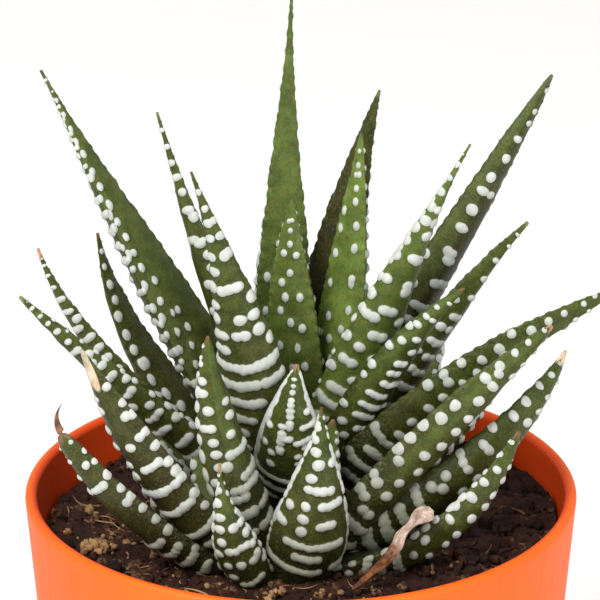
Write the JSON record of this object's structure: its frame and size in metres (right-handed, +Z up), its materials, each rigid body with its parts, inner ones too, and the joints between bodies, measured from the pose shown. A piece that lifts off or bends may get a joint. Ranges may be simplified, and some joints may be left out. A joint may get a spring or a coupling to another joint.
{
  "type": "potted haworthia",
  "caption": "Small potted succulent: rosettes of pointed dark green leaves with raised white dots and bands, in peat in a round tapered orange plastic pot.",
  "frame": {"origin": "middle of the pot's flat underside", "axes": "+Z up along the pot's axis; +X to the right and +Y away from the viewer as seen in the picture"},
  "size_m": [0.064, 0.0598, 0.105],
  "materials": {
    "pot_plastic": "satin moulded orange plastic",
    "peat": "damp crumbly peat with pale fibres",
    "crown": "matt grey-green stem",
    "leaf": "waxy dark green leaf with raised white tubercles",
    "dry_leaf": "dry curled brown leaf"
  },
  "bodies": {
    "root": {"pot": "pot_plastic", "soil": "peat", "crown_main": "crown", "crown_left": "crown", "crown_front": "crown", "dry_leaf": "dry_leaf", "leaf_front_middle": "leaf", "leaf_front_left_small": "leaf", "leaf_front_right_upper": "leaf", "leaf_front_right_low": "leaf", "leaf_front_right_middle": "leaf", "leaf_left_outer": "leaf", "leaf_left_low": "leaf", "leaf_left_upright": "leaf", "leaf_main_young": "leaf", "leaf_main_banded": "leaf", "leaf_main_right_arched": "leaf", "leaf_main_right_long_low": "leaf", "leaf_main_left_low": "leaf", "leaf_main_right_narrow": "leaf", "leaf_main_right_long": "leaf", "leaf_main_right_back": "leaf", "leaf_main_left_dotted": "leaf", "leaf_main_left_long": "leaf", "leaf_main_left_middle": "leaf", "leaf_main_left_back": "leaf", "leaf_main_centre": "leaf", "leaf_main_green": "leaf", "leaf_main_tall": "leaf", "leaf_main_back_dark": "leaf", "leaf_back_tall": "leaf", "leaf_back_middle": "leaf", "leaf_back_right": "leaf", "leaf_back_left": "leaf", "leaf_back_right_low": "leaf", "leaf_back_far_right": "leaf", "leaf_back_far_left": "leaf", "leaf_front_young": "leaf", "leaf_left_young": "leaf", "leaf_left_young_low": "leaf"}
  },
  "joints": []
}
